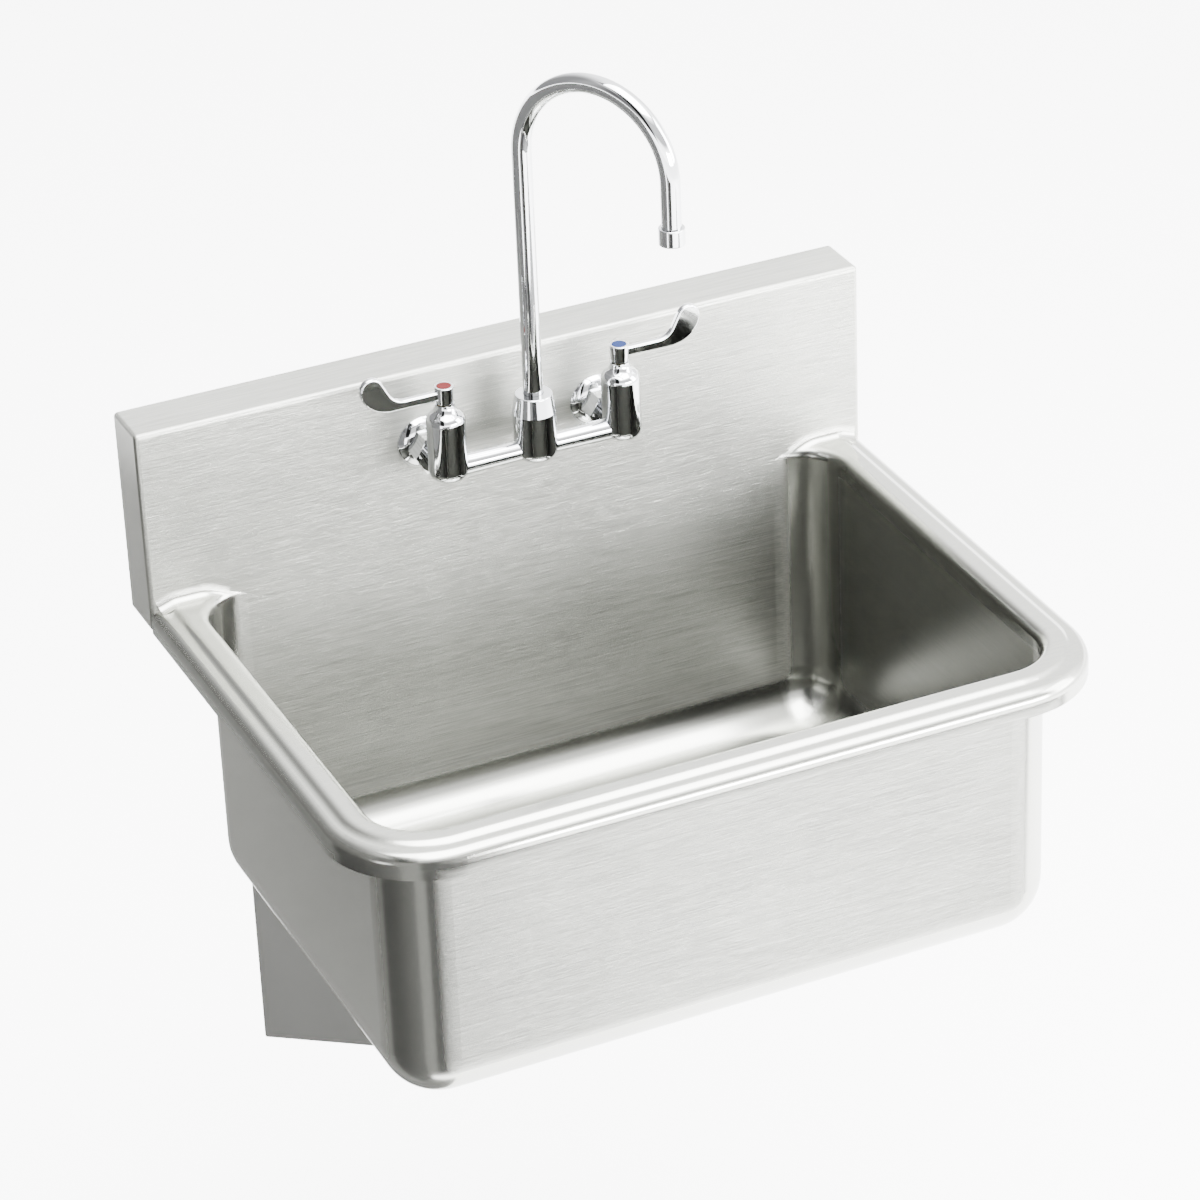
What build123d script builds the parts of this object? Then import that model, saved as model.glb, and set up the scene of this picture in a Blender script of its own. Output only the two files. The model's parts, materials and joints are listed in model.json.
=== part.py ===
from build123d import *
import math
import os

os.makedirs("parts", exist_ok=True)

# Wall-mounted hand sink with a gooseneck tap, in millimetres.
# X runs along the wall, Y points into the wall and Z is up.
# The origin is the middle of the wall hanger's row of holes, on the face of the wall.

# Basin sizes
sheet = 2.0
basin_width = 635.0
basin_depth = 495.3
hanger_rise = 114.4
bowl_depth = 254.0
bowl_corner_radius = 45.0
bowl_floor_radius = 44.0

# Rolled rim sizes, across the section from the bowl wall to the lip
rim_width = 37.0
rim_drop = 24.0
rim_edge_radius = 9.0
rim_crest = 15.0
rim_step_radius = 10.0
rim_step_angle = 35.0
rim_dish_angle = 6.0
rim_roll_radius = 11.0
cove_radius = 10.0
cove_root = 1.7

# Backsplash sizes
splash_depth = 50.8
splash_rise = 152.4
splash_bend = 4.0

# Wall hanger sizes
hanger_length = 558.8
hanger_hole_spacing = 406.4
hanger_hole_radius = 4.0
hanger_foot = 9.0
hanger_seat = 12.0
hanger_lip = 20.0
hook_clearance = 0.3

# Support bracket sizes
bracket_plate = 3.0
bracket_inset = 81.5
bracket_height = 213.0
bracket_reach = 365.0
bracket_flange = 38.0
bracket_hole_radius = 4.5
bracket_hole_inset = 18.0
bracket_top_hole = 55.0
bracket_hole_drop = 120.0
stud_radius = 3.0
stud_length = 14.0
stud_first = 110.0
stud_step = 180.0
stud_hole_clearance = 0.4
nut_across_flats = 11.0
nut_height = 5.0
washer_radius = 8.0
washer_thickness = 1.2

# Drain sizes
drain_radius = 44.5
drain_recess_radius = 58.0
drain_recess_slope = 4.0
drain_recess_depth = 5.0
strainer_flange_radius = 56.0
strainer_flange_thickness = 2.0
strainer_radius = 42.5
strainer_wall = 2.0
strainer_ledge = 2.0
strainer_height = 52.0
strainer_outlet_radius = 23.7
strainer_outlet_bore = 19.0
strainer_outlet_length = 16.0
drain_gasket_radius = 54.0
drain_gasket_thickness = 3.0
friction_ring_thickness = 1.0
drain_nut_radius = 52.0
drain_nut_height = 9.0
drain_nut_lugs = 8
drain_nut_lug = 3.0
drain_nut_lug_width = 9.0
thread_clearance = 0.15
grid_thickness = 1.5
grid_drop = 6.0
grid_hole_radius = 3.6
grid_ring_radius = 13.0
grid_ring_holes = 6
grid_outer_ring_radius = 26.0
grid_outer_ring_holes = 12
grid_post_radius = 4.5
grid_screw_radius = 2.4
grid_screw_head_radius = 5.0
grid_screw_head = 2.4
grid_screw_length = 12.0

# Tap sizes: wall connection
supply_spacing = 152.4
supply_height = 88.0
tap_standoff = 50.8
shank_radius = 10.5
shank_bore = 7.0
shank_hole_clearance = 0.7
shank_threads = 29.8
shank_tail_radius = 10.3
shank_tail = 24.0
shank_grip = 19.0
escutcheon_radius = 23.0
escutcheon_height = 7.5
escutcheon_wall = 1.2
escutcheon_fullness = 0.72
coupling_across_flats = 30.0
coupling_length = 19.0
coupling_web = 3.0
coupling_corner = 1.3
coupling_collar_radius = 13.0
coupling_collar_length = 3.2
coupling_washer_thickness = 1.6
locknut_across_flats = 30.0
locknut_height = 7.0
lock_washer_radius = 17.0
lock_washer_thickness = 1.5

# Tap sizes: cast body
valve_radius = 16.0
valve_drop = 10.0
valve_height = 32.0
valve_bottom_radius = 10.0
tower_radius = 17.5
tower_drop = 9.5
tower_bottom_radius = 9.0
bar_end_radius = 9.2
bar_middle_radius = 8.0
bar_bore = 5.0
inlet_radius = 10.4
inlet_bore = 6.0
port_radius = 2.0
port_offset = 9.5
chamber_radius = 11.0
chamber_floor = 6.0
seat_bore = 4.0

# Tap sizes: valves and handles
bonnet_straight = 10.0
bonnet_height = 25.7
bonnet_neck_radius = 7.7
bonnet_shoulder_radius = 9.0
bonnet_throat = 9.0
cartridge_clearance = 0.1
cartridge_flange_radius = 13.0
cartridge_flange = 3.0
cartridge_barrel_radius = 10.0
cartridge_barrel = 7.0
cartridge_neck_radius = 6.2
cartridge_neck = 11.0
cartridge_wall = 2.2
cartridge_cavity = 16.0
window_radius = 3.0
stem_radius = 3.45
stem_running_fit = 0.05
stem_top = 32.0
driver_radius = 7.5
driver_height = 2.5
seat_seal_height = 3.0
disc_height = 3.0
disc_port_radius = 1.8
disc_port_offset = 4.6
disc_gap = 0.05
hub_gap = 0.6
hub_height = 14.5
hub_bottom_radius = 6.8
hub_top_radius = 7.8
hub_edge = 0.7
hub_web = 2.0
hub_well_radius = 4.6
hub_well_depth = 3.4
button_radius = 6.0
button_height = 3.6
button_edge = 0.8
handle_screw_radius = 1.9
handle_screw_head_radius = 3.6
handle_screw_head = 2.4
handle_screw_length = 9.0
blade_thickness = 5.4
blade_arm_half = 3.9
blade_reach = 71.0
blade_end_radius = 9.8
blade_end_length = 13.4
blade_curl_radius = 14.0
blade_lean = 62.0
blade_belly = 26.0
blade_edge_radius = 1.6
blade_arm_height = 33.4

# Tap sizes: spout
tower_neck_radius = 14.6
tower_neck = 11.0
spout_bore_radius = 12.0
spout_bore_depth = 30.0
spout_running_fit = 0.05
spout_stub_top = 5.0
spout_stub_length = 24.0
oring_section = 1.05
oring_groove_width = 2.4
oring_groove_depth = 2.15
oring_pitch = 8.0
oring_first = 6.0
bush_gap = 0.2
collar_height = 16.0
collar_bottom_radius = 17.7
collar_top_radius = 15.2
collar_edge = 1.2
collar_clearance = 0.3
spout_radius = 8.0
spout_wall = 1.4
spout_reach = 136.5
spout_spring_height = 258.8
spout_drop = 43.2
spout_swing = 32.0
outlet_radius = 10.5
outlet_height = 14.0
outlet_overlap = 7.5
outlet_edge = 1.0
outlet_lip = 0.6
outlet_wall = 1.5
insert_hole_radius = 0.9
insert_ring_radius = 4.0
insert_ring_holes = 6
insert_outer_ring_radius = 7.0
insert_outer_ring_holes = 12

# Places worked out from the sizes above
rim_z = -hanger_rise
splash_top = rim_z + splash_rise
bracket_spacing = basin_width - 2 * bracket_inset
bowl_x = basin_width - 2 * rim_width
bowl_y = basin_depth - rim_width - splash_depth
bowl_middle_y = -(splash_depth + bowl_y / 2)
bowl_under_z = rim_z - bowl_depth - sheet
tap_y = -(splash_depth + tap_standoff)
supply_z = rim_z + supply_height
supply_x = supply_spacing / 2
seam_z = supply_z + valve_height


def tap_plane(x, z):
    """Level plane whose origin is on the tap's row of axes."""
    return Plane((x, tap_y, z))


def supply_plane(x, y):
    """Upright plane on a supply's axis that looks out of the wall."""
    return Plane((x, y, supply_z), x_dir=(1, 0, 0), z_dir=(0, -1, 0))


# Shape of the bowl's inside, used to cut the bowl
with BuildPart() as cavity:
    with BuildSketch(Plane.XY.offset(rim_z)):
        with Locations((0, bowl_middle_y)):
            RectangleRounded(bowl_x, bowl_y, bowl_corner_radius)
    extrude(amount=-bowl_depth)
    fillet(cavity.faces().sort_by(Axis.Z)[0].edges(), bowl_floor_radius)
    # The mouth flares outwards to leave a rounded edge on the rim
    with BuildSketch(Plane.XY.offset(rim_z)):
        with Locations((0, bowl_middle_y)):
            Rectangle(bowl_x + 2 * rim_crest, bowl_y + 2 * rim_crest)
    extrude(amount=rim_edge_radius)
    mouth = cavity.faces().filter_by(Plane.XY).group_by(Axis.Z)[1][0]
    fillet(mouth.inner_wires()[0].edges(), rim_edge_radius)
    # Recess that the strainer's flange lies in
    with BuildSketch(Plane((0, bowl_middle_y, bowl_under_z + sheet))):
        Circle(drain_recess_radius + drain_recess_slope)
    with BuildSketch(Plane((0, bowl_middle_y, bowl_under_z + sheet - drain_recess_depth))):
        Circle(drain_recess_radius)
    loft()

# Bowl, pressed from one sheet with its rolled rim
crest_x = bowl_x / 2 + rim_crest
crest_front_y = -(splash_depth + bowl_y + rim_crest)
crest_corner = bowl_corner_radius + rim_crest
outer_corner = bowl_corner_radius + sheet

with BuildPart() as pressing:
    # Outside of the deep bowl
    with BuildSketch(Plane.XY.offset(rim_z)):
        with Locations((0, bowl_middle_y)):
            RectangleRounded(bowl_x + 2 * sheet, bowl_y + 2 * sheet, outer_corner)
    extrude(amount=-(bowl_depth + sheet))
    fillet(pressing.faces().sort_by(Axis.Z)[0].edges(), bowl_floor_radius + sheet)

    # The backsplash stands in front of the bowl's rear wall down to the level of the lip
    with Locations((0, -splash_depth, rim_z - rim_drop)):
        Box(
            basin_width,
            splash_depth,
            2 * rim_drop,
            align=(Align.CENTER, Align.MIN, Align.MIN),
            mode=Mode.SUBTRACT,
        )

    # Flat crest of the rim
    with BuildSketch(Plane.XY.offset(rim_z)) as crest:
        with Locations((0, -splash_depth)):
            Rectangle(2 * crest_x, bowl_y + rim_crest, align=(Align.CENTER, Align.MAX))
        fillet(crest.vertices().group_by(Axis.Y)[0], crest_corner)
    extrude(amount=-sheet)
    underside = pressing.edges().filter_by(lambda e: abs(e.center().Z - rim_z + sheet) < sheet / 10)
    under_arcs = underside.filter_by(GeomType.CIRCLE)
    under_arcs = under_arcs.filter_by(lambda e: abs(e.radius - outer_corner) < sheet / 10)
    under_lines = underside.filter_by(GeomType.LINE)
    side_lines = under_lines.filter_by(lambda e: abs(abs(e.center().X) - bowl_x / 2 - sheet) < sheet / 10)
    front_line = under_lines.filter_by(
        lambda e: abs(e.center().Y + splash_depth + bowl_y + sheet) < sheet / 10
    )
    fillet(under_arcs + side_lines + front_line, rim_edge_radius - sheet)

    # Underside of the drain recess
    with BuildSketch(Plane((0, bowl_middle_y, bowl_under_z + sheet))):
        Circle(drain_recess_radius + drain_recess_slope + sheet)
    with BuildSketch(Plane((0, bowl_middle_y, bowl_under_z - drain_recess_depth))):
        Circle(drain_recess_radius + sheet)
    loft()

    # Inside of the bowl and its drain hole
    add(cavity.part, mode=Mode.SUBTRACT)
    with Locations((0, bowl_middle_y, bowl_under_z)):
        Cylinder(drain_radius, 4 * drain_recess_depth, mode=Mode.SUBTRACT)

    # Rolled outer zone of the rim, swept round the front from wall to wall
    with BuildLine(Plane.XY.offset(rim_z)) as rim_path:
        FilletPolyline(
            (-crest_x, -splash_depth),
            (-crest_x, crest_front_y),
            (crest_x, crest_front_y),
            (crest_x, -splash_depth),
            radius=crest_corner,
        )
    with BuildSketch(Plane((-crest_x, -splash_depth, rim_z), x_dir=(-1, 0, 0), z_dir=(0, 1, 0))):
        with BuildLine():
            step_down = JernArc((0, 0), (1, 0), rim_step_radius, -rim_step_angle)
            rise_angle = rim_step_angle - rim_dish_angle
            step_out = JernArc(step_down @ 1, step_down % 1, rim_step_radius, rise_angle)
            dish_slope = math.radians(rim_dish_angle)
            roll_run = rim_roll_radius * (1 - math.sin(dish_slope))
            dish_run = rim_width - rim_crest - roll_run - (step_out @ 1).X
            dish = PolarLine(step_out @ 1, dish_run / math.cos(dish_slope), -rim_dish_angle)
            roll = JernArc(dish @ 1, dish % 1, rim_roll_radius, rim_dish_angle - 90)
            Line(roll @ 1, ((roll @ 1).X, -rim_drop))
            offset(amount=sheet, side=Side.RIGHT)
        make_face()
    sweep(path=rim_path.line)

# Weld coves, which carry the rim up into the backsplash in the rear corners. Their round is
# the one that a ball leaves as it rolls out of the mouth, along the crest and onto the roll.
mouth_axis_x = bowl_x / 2 - bowl_corner_radius
mouth_ring = bowl_corner_radius + rim_edge_radius
ball_depth = bowl_corner_radius - cove_radius
roll_x = crest_x + roll.arc_center.X
roll_z = roll.arc_center.Y


def mouth_station(angle):
    """Place of the ball on the mouth's rounded corner, slope of its path and width of the cove."""
    reach = rim_edge_radius + cove_radius
    rise = reach * math.sin(math.radians(angle))
    back = reach * math.cos(math.radians(angle))
    run = math.sqrt((mouth_ring - back) ** 2 - ball_depth**2)
    slope = math.atan2(back * run, (mouth_ring - back) * rise)
    width = math.acos(back / reach * ball_depth / (mouth_ring - back))
    return mouth_axis_x + run, rise - rim_edge_radius, slope, width


def round_station(axis_x, axis_z, radius, lean):
    """Place of the ball on a round of the rim that runs straight to the backsplash."""
    reach = radius + cove_radius
    return axis_x + reach * math.sin(lean), axis_z + reach * math.cos(lean), -lean, math.pi / 2


roll_lean = math.asin((basin_width / 2 - splash_bend - roll_x) / (rim_roll_radius + cove_radius))
cove_stations = [
    round_station(roll_x, roll_z, rim_roll_radius, roll_lean),
    round_station(crest_x, -rim_step_radius, rim_step_radius, math.radians(rim_step_angle / 2)),
    round_station(crest_x, -rim_step_radius, rim_step_radius, 0),
] + [mouth_station(angle) for angle in range(90, 29, -5)]

with BuildPart() as weld_coves:
    for out, up, slope, width in cove_stations:
        across = Plane(
            (out, -(splash_depth + cove_radius), rim_z + up),
            x_dir=(0, 1, 0),
            z_dir=(math.cos(slope), 0, math.sin(slope)),
        )
        with BuildSketch(across):
            with BuildLine():
                hollow = CenterArc((0, 0), cove_radius, -math.degrees(width), math.degrees(width))
                root = cove_radius + cove_root
                Polyline(
                    hollow @ 0,
                    (root * math.cos(width), -root * math.sin(width)),
                    (cove_radius, -(cove_radius * math.tan(width / 2) + cove_root)),
                    hollow @ 1,
                )
            make_face()
    loft(ruled=True)
    mirror(about=Plane.YZ)

with BuildPart() as bowl:
    add(pressing.part)
    add(weld_coves.part)
bowl.part.label = "bowl"
export_step(bowl.part, "parts/bowl.step")

# Backsplash, one sheet folded back to the wall at the top and hemmed down behind the hanger
splash_inner_x = basin_width / 2 - splash_bend
hem_bottom_z = hanger_seat

with BuildPart() as backsplash:
    with BuildSketch(Plane.YZ.offset(-splash_inner_x)):
        with BuildLine():
            FilletPolyline(
                (-splash_depth, rim_z - rim_drop),
                (-splash_depth, splash_top),
                (0, splash_top),
                (0, hem_bottom_z),
                radius=splash_bend,
            )
            offset(amount=sheet, side=Side.RIGHT)
        make_face()
    extrude(amount=2 * splash_inner_x)
    with BuildSketch(Plane((0, -splash_depth, supply_z), x_dir=(1, 0, 0), z_dir=(0, -1, 0))):
        with Locations((-supply_x, 0), (supply_x, 0)):
            Circle(shank_radius + shank_hole_clearance)
    extrude(amount=sheet, both=True, mode=Mode.SUBTRACT)
backsplash.part.label = "backsplash"
export_step(backsplash.part, "parts/backsplash.step")

# End caps, each a plate whose front and top edges bend round to meet the backsplash
for side, side_name in ((-1, "left"), (1, "right")):
    with BuildPart() as end_cap:
        cap_x = side * basin_width / 2
        with BuildSketch(Plane.YZ.offset(side * splash_inner_x)) as cap_outline:
            with Locations((0, rim_z - rim_drop)):
                Rectangle(splash_depth, splash_rise + rim_drop, align=(Align.MAX, Align.MIN))
            fillet(cap_outline.vertices().group_by(Axis.Z)[-1], splash_bend)
        extrude(amount=side * splash_bend)
        outer_face = end_cap.faces().sort_by(Axis.X)[-1 if side > 0 else 0]
        wall_and_bottom = outer_face.edges().filter_by(
            lambda e: e.center().Y > -sheet or e.center().Z < rim_z - rim_drop + sheet
        )
        fillet(outer_face.edges() - wall_and_bottom, splash_bend - sheet / 10)
        with BuildSketch(Plane.YZ.offset(side * splash_inner_x)) as cap_hollow:
            with Locations((0, rim_z - rim_drop)):
                Rectangle(
                    splash_depth - sheet,
                    splash_rise + rim_drop - sheet,
                    align=(Align.MAX, Align.MIN),
                )
            fillet(cap_hollow.vertices().group_by(Axis.Z)[-1], splash_bend - sheet)
        extrude(amount=side * (splash_bend - sheet), mode=Mode.SUBTRACT)
    end_cap.part.label = f"{side_name}_end_cap"
    export_step(end_cap.part, f"parts/{end_cap.part.label}.step")

# Wall hanger, a plate whose stepped lip catches the backsplash's rear hem
hanger_slot = sheet + hook_clearance

with BuildPart() as wall_hanger:
    with BuildSketch(Plane.YZ.offset(-hanger_length / 2)):
        with BuildLine():
            Polyline(
                (0, -hanger_foot),
                (0, hanger_seat),
                (-hanger_slot, hanger_seat),
                (-hanger_slot, hanger_seat + hanger_lip),
                (-hanger_slot - sheet, hanger_seat + hanger_lip),
                (-hanger_slot - sheet, hanger_seat - sheet),
                (-sheet, hanger_seat - sheet),
                (-sheet, -hanger_foot),
                close=True,
            )
        make_face()
    extrude(amount=hanger_length)
    with BuildSketch(Plane.XZ):
        with Locations((-hanger_hole_spacing / 2, 0), (hanger_hole_spacing / 2, 0)):
            Circle(hanger_hole_radius)
    extrude(amount=2 * sheet, both=True, mode=Mode.SUBTRACT)
wall_hanger.part.label = "wall_hanger"
export_step(wall_hanger.part, "parts/wall_hanger.step")

# Support brackets, triangular gussets with a flange on the wall and one under the bowl
stud_x = bracket_spacing / 2 - bracket_hole_inset
stud_ys = [-(stud_first + row * stud_step) for row in range(2)]
bracket_holes_z = [
    bowl_under_z - bracket_top_hole,
    bowl_under_z - bracket_top_hole - bracket_hole_drop,
]

for side, side_name in ((-1, "left"), (1, "right")):
    plate_x = side * bracket_spacing / 2
    with BuildPart() as bracket:
        with BuildSketch(Plane.YZ.offset(plate_x)):
            with BuildLine():
                Polyline(
                    (0, bowl_under_z),
                    (-bracket_reach, bowl_under_z),
                    (-bracket_reach, bowl_under_z - bracket_plate),
                    (-bracket_plate, bowl_under_z - bracket_height),
                    (0, bowl_under_z - bracket_height),
                    close=True,
                )
            make_face()
        extrude(amount=-side * bracket_plate)
        with BuildSketch(Plane.XY.offset(bowl_under_z)):
            with Locations((plate_x, 0)):
                Rectangle(
                    bracket_flange,
                    bracket_reach,
                    align=(Align.MAX if side > 0 else Align.MIN, Align.MAX),
                )
        extrude(amount=-bracket_plate)
        with BuildSketch(Plane.XZ):
            with Locations((plate_x, bowl_under_z)):
                Rectangle(
                    bracket_flange,
                    bracket_height,
                    align=(Align.MAX if side > 0 else Align.MIN, Align.MAX),
                )
        extrude(amount=bracket_plate)
        with BuildSketch(Plane.XZ):
            with Locations(*[(side * stud_x, hole_z) for hole_z in bracket_holes_z]):
                Circle(bracket_hole_radius)
        extrude(amount=bracket_plate, mode=Mode.SUBTRACT)
        with BuildSketch(Plane.XY.offset(bowl_under_z)):
            with Locations(*[(side * stud_x, stud_y) for stud_y in stud_ys]):
                Circle(stud_radius + stud_hole_clearance)
        extrude(amount=-bracket_plate, mode=Mode.SUBTRACT)
    bracket.part.label = f"{side_name}_bracket"
    export_step(bracket.part, f"parts/{bracket.part.label}.step")

# Weld studs under the bowl, with the washers and nuts that hold the brackets
stud_places = [(side * stud_x, stud_y) for side in (-1, 1) for stud_y in stud_ys]
washer_z = bowl_under_z - bracket_plate
nut_z = washer_z - washer_thickness

with BuildPart() as weld_studs:
    with BuildSketch(Plane.XY.offset(bowl_under_z)):
        with Locations(*stud_places):
            Circle(stud_radius)
    extrude(amount=-stud_length)
    chamfer(weld_studs.faces().filter_by(Plane.XY).group_by(Axis.Z)[0].edges(), stud_radius / 6)
weld_studs.part.label = "weld_studs"
export_step(weld_studs.part, "parts/weld_studs.step")

with BuildPart() as bracket_washers:
    with BuildSketch(Plane.XY.offset(washer_z)):
        with Locations(*stud_places):
            Circle(washer_radius)
            Circle(stud_radius + stud_hole_clearance, mode=Mode.SUBTRACT)
    extrude(amount=-washer_thickness)
bracket_washers.part.label = "bracket_washers"
export_step(bracket_washers.part, "parts/bracket_washers.step")

with BuildPart() as bracket_nuts:
    with BuildSketch(Plane.XY.offset(nut_z)):
        with Locations(*stud_places):
            RegularPolygon(nut_across_flats / 2, 6, major_radius=False)
            Circle(stud_radius, mode=Mode.SUBTRACT)
    extrude(amount=-nut_height)
bracket_nuts.part.label = "bracket_nuts"
export_step(bracket_nuts.part, "parts/bracket_nuts.step")

# Drain strainer, a flanged cup that drops through the bowl's drain hole
recess_z = bowl_under_z + sheet - drain_recess_depth
recess_under_z = recess_z - sheet
strainer_bottom_z = recess_z - strainer_height
grid_z = recess_z + strainer_flange_thickness - grid_drop
cup_radius = strainer_radius - strainer_wall - strainer_ledge


def drain_plane(z):
    """Level plane on the drain's axis."""
    return Plane((0, bowl_middle_y, z))


with BuildPart() as strainer_body:
    with BuildSketch(drain_plane(recess_z)):
        Circle(strainer_flange_radius)
    extrude(amount=strainer_flange_thickness)
    fillet(strainer_body.edges().sort_by(Axis.Z)[-1], strainer_flange_thickness / 2)
    with BuildSketch(drain_plane(recess_z)):
        Circle(strainer_radius)
    extrude(amount=-strainer_height)
    with BuildSketch(drain_plane(strainer_bottom_z)):
        Circle(strainer_outlet_radius)
    extrude(amount=-strainer_outlet_length)
    # Inside of the cup, with a ledge for the grid
    with BuildSketch(drain_plane(recess_z + strainer_flange_thickness)):
        Circle(strainer_radius - strainer_wall)
    extrude(amount=-grid_drop, mode=Mode.SUBTRACT)
    with BuildSketch(drain_plane(grid_z)):
        Circle(cup_radius)
    extrude(amount=-(grid_z - strainer_bottom_z - strainer_wall), mode=Mode.SUBTRACT)
    with BuildSketch(drain_plane(strainer_bottom_z + strainer_wall)):
        Circle(strainer_outlet_bore)
    extrude(amount=-(strainer_outlet_length + strainer_wall), mode=Mode.SUBTRACT)
    # Crossbar and post that the grid is screwed to
    with BuildSketch(drain_plane(strainer_bottom_z)):
        Rectangle(2 * strainer_outlet_radius, 2 * grid_post_radius)
    extrude(amount=strainer_wall)
    with BuildSketch(drain_plane(strainer_bottom_z)):
        Circle(grid_post_radius)
    extrude(amount=grid_z - strainer_bottom_z)
    with BuildSketch(drain_plane(grid_z)):
        Circle(grid_screw_radius + thread_clearance)
    extrude(amount=-grid_screw_length, mode=Mode.SUBTRACT)
strainer_body.part.label = "strainer_body"
export_step(strainer_body.part, "parts/strainer_body.step")

with BuildPart() as strainer_grid:
    with BuildSketch(drain_plane(grid_z)):
        Circle(strainer_radius - strainer_wall - thread_clearance)
        Circle(grid_screw_radius + thread_clearance, mode=Mode.SUBTRACT)
        with PolarLocations(grid_ring_radius, grid_ring_holes):
            Circle(grid_hole_radius, mode=Mode.SUBTRACT)
        with PolarLocations(grid_outer_ring_radius, grid_outer_ring_holes):
            Circle(grid_hole_radius, mode=Mode.SUBTRACT)
    extrude(amount=grid_thickness)
strainer_grid.part.label = "strainer_grid"
export_step(strainer_grid.part, "parts/strainer_grid.step")

with BuildPart() as grid_screw:
    with BuildSketch(drain_plane(grid_z + grid_thickness)):
        Circle(grid_screw_head_radius)
    extrude(amount=grid_screw_head)
    fillet(grid_screw.edges().sort_by(Axis.Z)[-1], grid_screw_head / 2)
    with BuildSketch(drain_plane(grid_z + grid_thickness)):
        Circle(grid_screw_radius)
    extrude(amount=-grid_screw_length)
grid_screw.part.label = "grid_screw"
export_step(grid_screw.part, "parts/grid_screw.step")

# Gasket, slip ring and locknut that clamp the strainer from below
with BuildPart() as drain_gasket:
    with BuildSketch(drain_plane(recess_under_z)):
        Circle(drain_gasket_radius)
        Circle(strainer_radius + thread_clearance, mode=Mode.SUBTRACT)
    extrude(amount=-drain_gasket_thickness)
drain_gasket.part.label = "drain_gasket"
export_step(drain_gasket.part, "parts/drain_gasket.step")

friction_ring_z = recess_under_z - drain_gasket_thickness
with BuildPart() as friction_ring:
    with BuildSketch(drain_plane(friction_ring_z)):
        Circle(drain_gasket_radius)
        Circle(strainer_radius + thread_clearance, mode=Mode.SUBTRACT)
    extrude(amount=-friction_ring_thickness)
friction_ring.part.label = "friction_ring"
export_step(friction_ring.part, "parts/friction_ring.step")

drain_nut_z = friction_ring_z - friction_ring_thickness
with BuildPart() as drain_locknut:
    with BuildSketch(drain_plane(drain_nut_z)):
        Circle(drain_nut_radius - drain_nut_lug)
        with PolarLocations(drain_nut_radius - drain_nut_lug, drain_nut_lugs):
            Rectangle(2 * drain_nut_lug, drain_nut_lug_width)
        Circle(strainer_radius + thread_clearance, mode=Mode.SUBTRACT)
    extrude(amount=-drain_nut_height)
drain_locknut.part.label = "drain_locknut"
export_step(drain_locknut.part, "parts/drain_locknut.step")

# Tap body, one casting with both valve bodies, the bar and the middle tower
inlet_front_y = -(splash_depth + shank_grip + coupling_washer_thickness)
valve_floor_z = supply_z + chamber_floor
neck_top_z = seam_z + tower_neck
spout_floor_z = neck_top_z - spout_bore_depth

with BuildPart() as tap_body:
    # Valve bodies and tower, each turned about its own upright axis
    for axis_x, radius, drop, bottom_radius in (
        (-supply_x, valve_radius, valve_drop, valve_bottom_radius),
        (supply_x, valve_radius, valve_drop, valve_bottom_radius),
        (0, tower_radius, tower_drop, tower_bottom_radius),
    ):
        with BuildSketch(Plane((axis_x, tap_y, supply_z), x_dir=(1, 0, 0), z_dir=(0, -1, 0))):
            with BuildLine():
                FilletPolyline((0, -drop), (radius, -drop), (radius, valve_height), radius=bottom_radius)
                Polyline((radius, valve_height), (0, valve_height), (0, -drop))
            make_face()
        revolve(axis=Axis((axis_x, tap_y, 0), (0, 0, 1)))
    # Bar that joins them, thinner towards the tower
    for side in (-1, 1):
        with BuildSketch(Plane((side * supply_x, tap_y, supply_z), z_dir=(side, 0, 0))):
            Circle(bar_end_radius)
        with BuildSketch(Plane((0, tap_y, supply_z), z_dir=(side, 0, 0))):
            Circle(bar_middle_radius)
        loft()
    # Threaded neck for the collar nut
    with BuildSketch(tap_plane(0, seam_z)):
        Circle(tower_neck_radius)
    extrude(amount=tower_neck)
    # Inlets at the back, each with the collar that its coupling nut pulls on
    for side in (-1, 1):
        with BuildSketch(supply_plane(side * supply_x, inlet_front_y)):
            Circle(inlet_radius)
        extrude(amount=inlet_front_y - tap_y)
        with BuildSketch(supply_plane(side * supply_x, inlet_front_y)):
            Circle(coupling_collar_radius)
        extrude(amount=coupling_collar_length)
    # Chambers for the cartridges, open at the seam
    with BuildSketch(Plane.XY.offset(seam_z)):
        with Locations((-supply_x, tap_y), (supply_x, tap_y)):
            Circle(chamber_radius)
    extrude(amount=valve_floor_z - seam_z, mode=Mode.SUBTRACT)
    # Waterways: supply to seat, chamber to bar, and bar to spout
    for side in (-1, 1):
        with BuildSketch(supply_plane(side * supply_x, inlet_front_y)):
            Circle(inlet_bore)
        extrude(amount=inlet_front_y - tap_y, mode=Mode.SUBTRACT)
        with BuildSketch(tap_plane(side * supply_x, supply_z)):
            Circle(seat_bore)
        extrude(amount=chamber_floor, mode=Mode.SUBTRACT)
        with BuildSketch(tap_plane(side * (supply_x - port_offset), supply_z)):
            Circle(port_radius)
        extrude(amount=chamber_floor, mode=Mode.SUBTRACT)
    with BuildSketch(Plane((0, tap_y, supply_z), z_dir=(1, 0, 0))):
        Circle(bar_bore)
    extrude(amount=supply_x - port_offset + port_radius, both=True, mode=Mode.SUBTRACT)
    with BuildSketch(tap_plane(0, supply_z)):
        Circle(inlet_bore)
    extrude(amount=spout_floor_z - supply_z, mode=Mode.SUBTRACT)
    with BuildSketch(tap_plane(0, spout_floor_z)):
        Circle(spout_bore_radius)
    extrude(amount=spout_bore_depth, mode=Mode.SUBTRACT)
tap_body.part.label = "tap_body"
export_step(tap_body.part, "parts/tap_body.step")

# Wall connections: escutcheons, coupling nuts and threaded shanks
coupling_end_y = inlet_front_y - coupling_collar_length - thread_clearance - coupling_web
splash_back_y = -(splash_depth - sheet)
lock_nut_y = splash_back_y + lock_washer_thickness

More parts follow.
